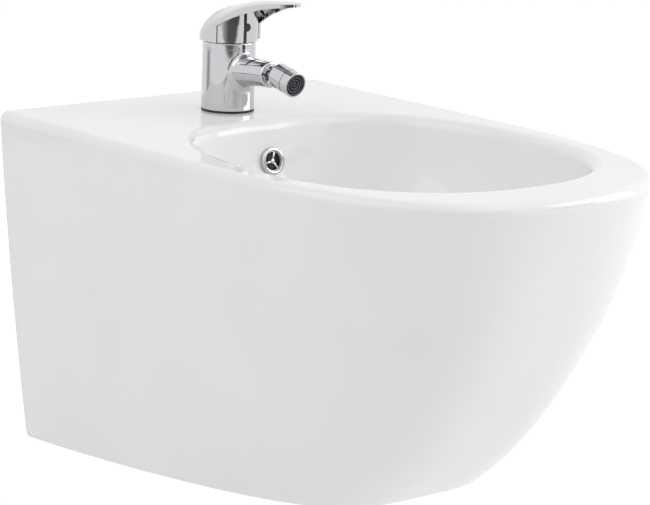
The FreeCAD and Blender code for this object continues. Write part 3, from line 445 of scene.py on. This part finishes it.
WASTE_SLOT_HALF, WASTE_SLOT_REACH, WASTE_SLOT_LOW, WASTE_SLOT_TOP = 8, 26, -81, -71
STUD_Y, STUD_PITCH = -98, 1.25
STUD_RADIUS, STUD_THREAD_DEPTH, STUD_CORE = 4, 0.68, 3.36
TAP_Y, TAP_RADIUS = -88, 23.5
SPOUT_ROOT, SPOUT_END = 8.0, 60.2
# Share of the spout's length, half its width, half its height and the height of its middle.
SPOUT_STATIONS = ((0.0, 15.0, 15.2, 115.5), (0.6, 12.088, 12.126, 118.655),
                  (1.0, 11.4, 11.4, 119.4))
# Step in turn and in share over which the way out of the spout is taken.
SPOUT_STEP = 0.001
# Sections round the spout, steps over each arc, the depth in radii of the ball at which a
# section closes inside the metal, and the halvings that place the ball.
BLEND_SECTIONS, BLEND_STEPS, BLEND_SUNK, BLEND_HALVINGS = 160, 14, 1.6, 40
BALL, NOZZLE_TILT, NOZZLE_FACE = (0, -161.8, 119.4), 13, 18.7
AERATOR_BACK, AERATOR_BORE, AERATOR_RADIUS = -5, 8.7, 9.6
AERATOR_RINGS, AERATOR_RING_HALF = (1.5, 4.1, 6.7), 0.5
AERATOR_RING_BACK, AERATOR_RING_FRONT = -2.2, -0.2
AERATOR_SPOKE_TURNS = (0, 60, 120)
AERATOR_SPOKE_HALF, AERATOR_SPOKE_REACH, AERATOR_SPOKE_DEPTH = 0.22, 8.9, 1.0
SCREEN_SIDE, SCREEN_THREADS, SCREEN_BEHIND = 17, 22, 4.4


def spout_point(turn, share):
    """A point on the spout, by the turn round it and the share of its length."""
    sizes = Vector((0, 0, 0))
    for row in SPOUT_STATIONS:
        others = [other[0] for other in SPOUT_STATIONS if other is not row]
        weight = math.prod((share - place) / (row[0] - place) for place in others)
        sizes += weight * Vector(row[1:])
    y = TAP_Y - SPOUT_ROOT - (SPOUT_END - SPOUT_ROOT) * share
    return Vector((sizes.x * math.cos(turn), y, sizes.z + sizes.y * math.sin(turn)))


def spout_normal(turn, share):
    """The way straight out of the spout at one of its points."""
    around = spout_point(turn + SPOUT_STEP, share) - spout_point(turn - SPOUT_STEP, share)
    along = spout_point(turn, share + SPOUT_STEP) - spout_point(turn, share - SPOUT_STEP)
    return around.cross(along).normalized()


def blend_section(turn, under, over):
    """One section of the blend: the arc of a ball that rolls between spout and body, with its
    normals, and a last point inside the metal. The place of the ball is found by halving."""
    radius = between(under, over, (1 + math.sin(turn)) / 2)
    low, high = 0.0, 0.95
    for _ in range(BLEND_HALVINGS):
        share = (low + high) / 2
        normal = spout_normal(turn, share)
        centre = spout_point(turn, share) + normal * radius
        away = Vector((centre.x, centre.y - TAP_Y, 0))
        if away.length < TAP_RADIUS + radius:
            low = share
        else:
            high = share
    ways = [(-normal).slerp(-away.normalized(), k / BLEND_STEPS)
            for k in range(BLEND_STEPS + 1)]
    inward = (ways[0] + ways[-1]).normalized()
    points = [centre + way * radius for way in ways] + [centre + inward * radius * BLEND_SUNK]
    return points, [-way for way in ways] + [-inward]


def root_blend(under, over):
    """The soft hollow where the spout grows out of the body, wide below and tight on top."""
    points = []
    normals = []
    for i in range(BLEND_SECTIONS):
        more, ways = blend_section(2 * math.pi * i / BLEND_SECTIONS, under, over)
        points += [point * MM for point in more]
        normals += ways
    count = BLEND_STEPS + 2
    faces = []
    for i in range(BLEND_SECTIONS):
        here, beside = i * count, (i + 1) % BLEND_SECTIONS * count
        for k in range(count):
            onward = (k + 1) % count
            faces.append((here + k, here + onward, beside + onward, beside + k))
    mesh = bpy.data.meshes.new("spout_root_blend")
    mesh.from_pydata(points, [], faces)
    piece = bpy.data.objects.new("spout_root_blend", mesh)
    bpy.context.collection.objects.link(piece)
    close_surface(piece, 180)
    mesh.normals_split_custom_set_from_vertices(normals)
    return piece


def bars_round(name, turns, low, high, place, ahead, bevel=0.0):
    """Bars between two corners, in millimetres, each turned about an axis that goes ahead."""
    bars = []
    for turn in turns:
        middle = Vector([(a + b) / 2 * MM for a, b in zip(low, high)])
        turned = Matrix.Rotation(math.radians(turn), 3, "Z") @ middle
        bpy.ops.object.select_all(action="DESELECT")
        bpy.ops.mesh.primitive_cube_add(size=1, location=turned)
        bar = bpy.context.object
        bar.scale = [(b - a) * MM for a, b in zip(low, high)]
        bar.rotation_euler = (0, 0, math.radians(turn))
        bpy.ops.object.transform_apply(location=True, rotation=True, scale=True)
        if bevel:
            apply_modifier(bar, "BEVEL", width=bevel * MM, segments=3)
        bars.append(bar)
    piece = join(*bars)
    piece.name = name
    move_mesh(piece, place, ahead)
    close_surface(piece)
    return piece


def aerator_screen(face, ahead, thread):
    """The woven nylon screen that lies behind the rings, cut round from a square of threads."""
    bpy.ops.mesh.primitive_grid_add(x_subdivisions=SCREEN_THREADS,
                                    y_subdivisions=SCREEN_THREADS, size=SCREEN_SIDE * MM)
    screen = bpy.context.object
    screen.name = "aerator_screen"
    pick(screen)
    bpy.ops.object.mode_set(mode="EDIT")
    bpy.ops.mesh.select_all(action="DESELECT")
    bpy.ops.object.mode_set(mode="OBJECT")
    for vertex in screen.data.vertices:
        vertex.select = vertex.co.length > AERATOR_BORE * MM
    bpy.ops.object.mode_set(mode="EDIT")
    bpy.ops.mesh.delete(type="VERT")
    bpy.ops.object.mode_set(mode="OBJECT")
    apply_modifier(screen, "WIREFRAME", thickness=thread)
    move_mesh(screen, face - ahead * SCREEN_BEHIND, ahead)
    close_surface(screen)
    return screen


class BIDET_OT_ceramic(bpy.types.Operator):
    """Glaze the ceramic body and finish what is fixed to its back"""
    bl_idname = "bidet.ceramic"
    bl_label = "Ceramic body"

    def execute(self, context):
        dress_nodes(["ceramic_body", "wall_bushes"])
        return {"FINISHED"}


class BIDET_OT_overflow(bpy.types.Operator):
    """Turn the overflow's ring and its insert on three bars"""
    bl_idname = "bidet.overflow"
    bl_label = "Overflow"

    def execute(self, context):
        tilt = math.radians(OVERFLOW_TILT)
        facing = Vector((0, -math.cos(tilt), math.sin(tilt)))
        lip = softened([
            (OVERFLOW_BORE, OVERFLOW_BACK, 0.1), (OVERFLOW_SPIGOT, OVERFLOW_BACK, 0.1),
            (OVERFLOW_SPIGOT, OVERFLOW_FLANGE, 0.1), (OVERFLOW_RADIUS, OVERFLOW_FLANGE, 0.3),
            (OVERFLOW_RADIUS, OVERFLOW_LIP, 1.6), (OVERFLOW_BORE, OVERFLOW_LIP, 1.6)], 8)
        ring = spun("overflow_ring_rounded", [lip], OVERFLOW_SEAT, facing)
        finish_piece(ring, "root", "chrome_plate", "overflow_ring")
        sleeve = softened([
            (OVERFLOW_OPENING, OVERFLOW_BACK, 0.1), (OVERFLOW_SLEEVE, OVERFLOW_BACK, 0.1),
            (OVERFLOW_SLEEVE, OVERFLOW_SLEEVE_TOP, 0.1),
            (OVERFLOW_OPENING, OVERFLOW_SLEEVE_TOP, 0.1)], 2)
        hub = softened([
            (0, OVERFLOW_BARS_BACK, 0), (OVERFLOW_HUB, OVERFLOW_BARS_BACK, 0.2),
            (OVERFLOW_HUB, OVERFLOW_HUB_TOP, 0.5), (0, OVERFLOW_HUB_TOP, 0)], 5)
        cup = spun("overflow_sleeve_and_hub", [sleeve, hub], OVERFLOW_SEAT, facing)
        sizes = context.scene.bidet_sizes
        half = sizes.bar_width / MM / 2
        turns = [math.degrees(sizes.bar_turn) + OVERFLOW_BARS_APART * i for i in range(3)]
        # The bars start within the hub and end 0.2 mm inside the sleeve's wall.
        bars = bars_round("overflow_bars", turns, (-half, 0.5, OVERFLOW_BARS_BACK),
                          (half, OVERFLOW_OPENING + 0.2, OVERFLOW_BARS_TOP),
                          OVERFLOW_SEAT, facing, 0.4)
        for piece in (cup, bars):
            finish_piece(piece, "root", "chrome_plate", "overflow_insert")
        return {"FINISHED"}


class BIDET_OT_waste(bpy.types.Operator):
    """Finish the waste, its plug and what holds it under the bowl"""
    bl_idname = "bidet.waste"
    bl_label = "Waste and plug"

    def execute(self, context):
        dress_nodes([n for n in SLOT_OF if n.startswith(("waste_", "plug_")) and n != "waste_body"])
        minor = WASTE_RADIUS - WASTE_THREAD_DEPTH
        shoulder = WASTE_NECK + WASTE_SHOULDER_HEIGHT
        seat = WASTE_TOP - WASTE_FLANGE_HEIGHT
        tube = softened([
            (WASTE_BORE, WASTE_LOW, 0.4), (minor, WASTE_LOW, 0.5), (minor, WASTE_NECK, 0),
            (WASTE_SHOULDER, WASTE_NECK, 0), (WASTE_SHOULDER, shoulder, 0.2),
            (WASTE_RADIUS, shoulder, 0.2), (WASTE_RADIUS, seat, 0), (WASTE_FLANGE, seat, 0.2),
            (WASTE_FLANGE, WASTE_TOP, 1.4), (WASTE_BORE, WASTE_TOP, 0.8)])
        body = spun("waste_body_turned", [tube], (0, WASTE_Y, 0), steps=128)
        cut_by(body, (-WASTE_SLOT_HALF, WASTE_Y - WASTE_SLOT_REACH, WASTE_SLOT_LOW),
               (WASTE_SLOT_HALF, WASTE_Y + WASTE_SLOT_REACH, WASTE_SLOT_TOP))
        # The thread stops short of both ends of its neck.
        turns = int((WASTE_NECK - WASTE_LOW - 1) / WASTE_PITCH)
        ridge = threaded("waste_thread", WASTE_RADIUS, WASTE_THREAD_DEPTH, WASTE_PITCH, turns,
                         (0, WASTE_Y, WASTE_LOW + 0.6), 96)
        for piece in (body, ridge):
            finish_piece(piece, "root", "chrome_plate", "waste_body")
        return {"FINISHED"}


class BIDET_OT_tap(bpy.types.Operator):
    """Finish the mixer's body, its cartridge and the clamp under the deck"""
    bl_idname = "bidet.tap"
    bl_label = "Mixer body"

    def execute(self, context):
        inside = ["cartridge_seals", "cartridge_housing", "fixed_disc", "moving_disc",
                  "disc_slider", "spindle_carrier", "spindle_pin", "cartridge_nut"]
        outside = ["tap_body", "tap_gasket", "tap_rubber_washer", "tap_clamp_washer", "tap_nut"]
        dress_nodes(outside + inside + ["shroud_ring"])
        sizes = context.scene.bidet_sizes
        blend = root_blend(sizes.blend_under / MM, sizes.blend_over / MM)
        finish_piece(blend, "root", "chrome_plate")
        low, high = [corner.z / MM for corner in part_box("tap_stud")]
        # The thread stops short of both ends of its core.
        turns = int((high - low - 1) / STUD_PITCH)
        ridge = threaded("stud_thread", STUD_RADIUS, STUD_THREAD_DEPTH, STUD_PITCH, turns,
                         (0, STUD_Y, low + 0.5))
        core = softened([(0, low, 0), (STUD_CORE, low, 0.5), (STUD_CORE, high, 0.5),
                         (0, high, 0)], 3)
        rod = spun("stud_core", [core], (0, STUD_Y, 0), steps=48)
        for piece in (ridge, rod):
            finish_piece(piece, "root", "stainless_steel", "tap_stud")
        return {"FINISHED"}


class BIDET_OT_lever(bpy.types.Operator):
    """Finish the lever, the spindle inside it and its index cap"""
    bl_idname = "bidet.lever"
    bl_label = "Lever"

    def execute(self, context):
        dress_nodes(BODIES["lever"])
        return {"FINISHED"}


class BIDET_OT_nozzle(bpy.types.Operator):
    """Finish the swivelling nozzle and its aerator"""
    bl_idname = "bidet.nozzle"
    bl_label = "Nozzle"

    def execute(self, context):
        turned = [n for n in BODIES["nozzle"] if n != "aerator_insert"]
        dress_nodes(["ball_stem"] + BODIES["liner"] + turned)
        tilt = math.radians(NOZZLE_TILT)
        ahead = Vector((0, -math.cos(tilt), -math.sin(tilt)))
        face = Vector(BALL) + ahead * NOZZLE_FACE
        rings = [softened([
            (AERATOR_BORE, AERATOR_BACK, 0.1), (AERATOR_RADIUS, AERATOR_BACK, 0.1),
            (AERATOR_RADIUS, 0, 0.25), (AERATOR_BORE, 0, 0.25)], 3)]
        for radius in AERATOR_RINGS:
            inner, outer = radius - AERATOR_RING_HALF, radius + AERATOR_RING_HALF
            rings.append(softened([
                (inner, AERATOR_RING_BACK, 0), (outer, AERATOR_RING_BACK, 0),
                (outer, AERATOR_RING_FRONT, 0.2), (inner, AERATOR_RING_FRONT, 0.2)], 3))
        grid = spun("aerator_rings", rings, face, ahead)
        finish_piece(grid, "nozzle", "dark_acetal", "aerator_insert")
        corner = Vector((AERATOR_SPOKE_REACH, AERATOR_SPOKE_HALF, AERATOR_SPOKE_DEPTH / 2))
        spokes = bars_round("aerator_spokes", AERATOR_SPOKE_TURNS, -corner, corner,
                            face + ahead * AERATOR_RING_BACK, ahead)
        finish_piece(spokes, "nozzle", "dark_acetal", "aerator_insert")
        screen = aerator_screen(face, ahead, context.scene.bidet_sizes.screen_thread)
        finish_piece(screen, "nozzle", "dark_acetal")
        # The record has no slot for the screen: it keeps the grid's and wears its own near-black
        # nylon, painted shade.
        screen.data.materials[0] = finish_for("black_screen")
        return {"FINISHED"}


# Stage

# Place of the camera in metres, and unit vectors for its view and its right, fitted to the
# outline in the photograph.
CAMERA_PLACE = Vector((-1.51041, -2.00150, 0.50380))
CAMERA_AHEAD = Vector((0.63226321, 0.74277516, -0.2202914))
CAMERA_RIGHT = Vector((0.7658412, -0.64219744, 0.0327063))
CAMERA_LENS = 155.08
FLOOR_SIDE = 30
# Share of the floor that shows as plain glow to the camera and to mirrors, and its strength.
FLOOR_SHARE, FLOOR_GLOW = 0.88, 1.06
# Name, place, what it looks at and side of each lamp, in metres.
LAMPS = (("top_lamp", (0.1, -1.1, 1.2), (0, -0.26, 0.08), 0.8),
         ("right_lamp", (2.15, -1.7, 0.9), (0, -0.3, 0.0), 1.8),
         ("left_lamp", (-1.8, 0.2, 1.7), (0, -0.3, 0.0), 1.95))
CARD_DISTANCE = 1.42
# Name, turn and spread in degrees, colours from side to side that each card glows with as a painted
# reflection for the metal, and lowest and highest edge.
CARDS = (("dark_card", 2, 83, ("#E6E6E6", "#5A5A5C", "#3E3E40"), -0.085, 0.3),
         ("dark_strip", 66, 15, ("#4A4A4C", "#3E3E40", "#4A4A4C"), -0.085, 0.3),
         ("grey_band", -97, 30, ("#F4F4F4", "#A8A8AA", "#F4F4F4"), -0.3, -0.078))


def seen_directly(tree):
    """1 for rays from the camera, from a mirror or through glass, and 0 for light's own."""
    path = add_node(tree, "ShaderNodeLightPath")
    either = add_node(tree, "ShaderNodeMath", operation="MAXIMUM", links={
        0: path.outputs["Is Camera Ray"], 1: path.outputs["Is Glossy Ray"]})
    return add_node(tree, "ShaderNodeMath", operation="MAXIMUM", links={
        0: either.outputs["Value"], 1: path.outputs["Is Transmission Ray"]}).outputs["Value"]


def light_world(level):
    """An even grey light on the object, seen as plain white."""
    world = bpy.data.worlds.new("studio_white")
    bpy.context.scene.world = world
    world.use_nodes = True
    tree = world.node_tree
    tree.nodes.clear()
    even = add_node(tree, "ShaderNodeBackground", {"Color": (1.0, 1.0, 1.0, 1.0),
                                                   "Strength": level})
    white = add_node(tree, "ShaderNodeBackground", {"Color": (1.0, 1.0, 1.0, 1.0),
                                                    "Strength": 1.0})
    mix = add_node(tree, "ShaderNodeMixShader", links={
        0: seen_directly(tree), 1: even.outputs["Background"], 2: white.outputs["Background"]})
    add_node(tree, "ShaderNodeOutputWorld", links={"Surface": mix.outputs["Shader"]})


def lay_floor(height):
    """A pale floor that keeps a faint shadow of the object."""
    bpy.ops.mesh.primitive_plane_add(size=FLOOR_SIDE, location=(0, 0, height))
    floor = bpy.context.object
    floor.name = "studio_floor"
    material = bpy.data.materials.new("pale_floor")
    material.use_nodes = True
    tree = material.node_tree
    tree.nodes.clear()
    paint = add_node(tree, "ShaderNodeBsdfDiffuse", {"Color": linear("#F2F2F2")})
    glow = add_node(tree, "ShaderNodeEmission", {"Color": (1.0, 1.0, 1.0, 1.0),
                                                 "Strength": FLOOR_GLOW})
    share = add_node(tree, "ShaderNodeMath", {1: FLOOR_SHARE}, {0: seen_directly(tree)},
                     operation="MULTIPLY")
    mix = add_node(tree, "ShaderNodeMixShader", links={
        0: share.outputs["Value"], 1: paint.outputs["BSDF"], 2: glow.outputs["Emission"]})
    add_node(tree, "ShaderNodeOutputMaterial", links={"Surface": mix.outputs["Shader"]})
    floor.data.materials.append(material)


def hang_lamp(name, place, aim, side, power):
    """A soft square lamp that looks at a point."""
    bpy.ops.object.light_add(type="AREA", location=place)
    lamp = bpy.context.object
    lamp.name = name
    lamp.rotation_euler = (Vector(aim) - Vector(place)).to_track_quat("-Z", "Y").to_euler()
    lamp.data.size = side
    lamp.data.energy = power


def stand_card(name, turn, spread, colours, low, high):
    """A card that only mirrors see, as a photographer stands one up beside bright metal. It glows
    with painted colours, so what the metal mirrors of it is a painted reflection. It is placed by
    its angle round the tap from the camera, and by the angle that it covers."""
    tap = TAP_Y * MM
    ahead = Vector((CAMERA_PLACE.x, CAMERA_PLACE.y - tap)).normalized()
    angle = math.atan2(ahead.y, ahead.x) + math.radians(turn)
    reach = CARD_DISTANCE * math.tan(math.radians(spread / 2))
    place = (CARD_DISTANCE * math.cos(angle), CARD_DISTANCE * math.sin(angle) + tap,
             (low + high) / 2)
    bpy.ops.mesh.primitive_plane_add(size=1, location=place,
                                     rotation=(math.pi / 2, 0, angle + math.pi / 2))
    card = bpy.context.object
    card.name = name
    card.scale = (2 * reach, high - low, 1)
    material = bpy.data.materials.new(name + "_felt")
    material.use_nodes = True
    tree = material.node_tree
    tree.nodes.clear()
    own = add_node(tree, "ShaderNodeTexCoord").outputs["Object"]
    across = add_node(tree, "ShaderNodeSeparateXYZ", links={"Vector": own}).outputs["X"]
    left, middle, right = [linear(colour) for colour in colours]
    shares = [add_node(tree, "ShaderNodeMapRange", {"From Min": 0.0, "From Max": edge},
                       {"Value": across}, interpolation_type="SMOOTHSTEP").outputs["Result"]
              for edge in (-0.5, 0.5)]
    half = add_node(tree, "ShaderNodeMix", {6: middle, 7: left}, {0: shares[0]},
                    data_type="RGBA")
    whole = add_node(tree, "ShaderNodeMix", {7: right}, {0: shares[1], 6: half.outputs[2]},
                     data_type="RGBA")
    # The card glows with these colours, and the chrome shows them as a painted reflection.
    painted_reflection_glow = add_node(tree, "ShaderNodeEmission", {"Strength": 1.0}, {"Color": whole.outputs[2]})
    add_node(tree, "ShaderNodeOutputMaterial", links={"Surface": painted_reflection_glow.outputs["Emission"]})
    card.data.materials.append(material)
    card.visible_camera = False
    card.visible_diffuse = False
    card.visible_shadow = False
    card.visible_transmission = False


def set_camera():
    """The camera at the photograph's viewing angle."""
    bpy.ops.object.camera_add(location=CAMERA_PLACE)
    camera = bpy.context.object
    camera.name = "photo_camera"
    up = CAMERA_RIGHT.cross(CAMERA_AHEAD)
    camera.matrix_world = Matrix.Translation(CAMERA_PLACE) @ Matrix(
        (CAMERA_RIGHT, up, -CAMERA_AHEAD)).transposed().to_4x4()
    camera.data.lens = CAMERA_LENS
    camera.data.sensor_width = 36.0
    camera.data.clip_start = 0.1
    camera.data.clip_end = 60.0
    bpy.context.scene.camera = camera


class BIDET_OT_stage(bpy.types.Operator):
    """Set the camera, the pale floor and the soft studio light"""
    bl_idname = "bidet.stage"
    bl_label = "Camera, floor and light"

    def execute(self, context):
        look = context.scene.bidet_stage
        context.scene.view_settings.view_transform = "Standard"
        set_camera()
        light_world(look.ambient)
        lay_floor(CAD_BOX[0].z - look.floor_drop)
        for lamp, power in zip(LAMPS, (look.top_power, look.right_power, look.left_power)):
            hang_lamp(*lamp, power)
        for card in CARDS:
            stand_card(*card)
        return {"FINISHED"}


class BIDET_PT_panel(bpy.types.Panel):
    """Lists the steps that dress the bidet"""
    bl_label = "Bidet"
    bl_idname = "BIDET_PT_panel"
    bl_space_type = "VIEW_3D"
    bl_region_type = "UI"
    bl_category = "Bidet"

    def draw(self, context):
        column = self.layout.column()
        for step in STEPS:
            column.operator(step.bl_idname)
        scene = context.scene
        for group in (scene.bidet_finish, scene.bidet_sizes, scene.bidet_stage):
            for name in type(group).__annotations__:
                column.prop(group, name)


STEPS = (BIDET_OT_ceramic, BIDET_OT_overflow, BIDET_OT_waste, BIDET_OT_tap, BIDET_OT_lever,
         BIDET_OT_nozzle, BIDET_OT_stage)
CLASSES = (BidetFinish, BidetSizes, BidetStage, *STEPS, BIDET_PT_panel)


def register():
    for kind in CLASSES:
        bpy.utils.register_class(kind)
    bpy.types.Scene.bidet_finish = bpy.props.PointerProperty(type=BidetFinish)
    bpy.types.Scene.bidet_sizes = bpy.props.PointerProperty(type=BidetSizes)
    bpy.types.Scene.bidet_stage = bpy.props.PointerProperty(type=BidetStage)


def unregister():
    del bpy.types.Scene.bidet_stage
    del bpy.types.Scene.bidet_sizes
    del bpy.types.Scene.bidet_finish
    for kind in reversed(CLASSES):
        bpy.utils.unregister_class(kind)


def main():
    """Registers the add-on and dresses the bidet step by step."""
    register()
    bpy.ops.bidet.ceramic()
    bpy.ops.bidet.overflow()
    bpy.ops.bidet.waste()
    bpy.ops.bidet.tap()
    bpy.ops.bidet.lever()
    bpy.ops.bidet.nozzle()
    bpy.ops.bidet.stage()


if __name__ == "__main__":
    main()
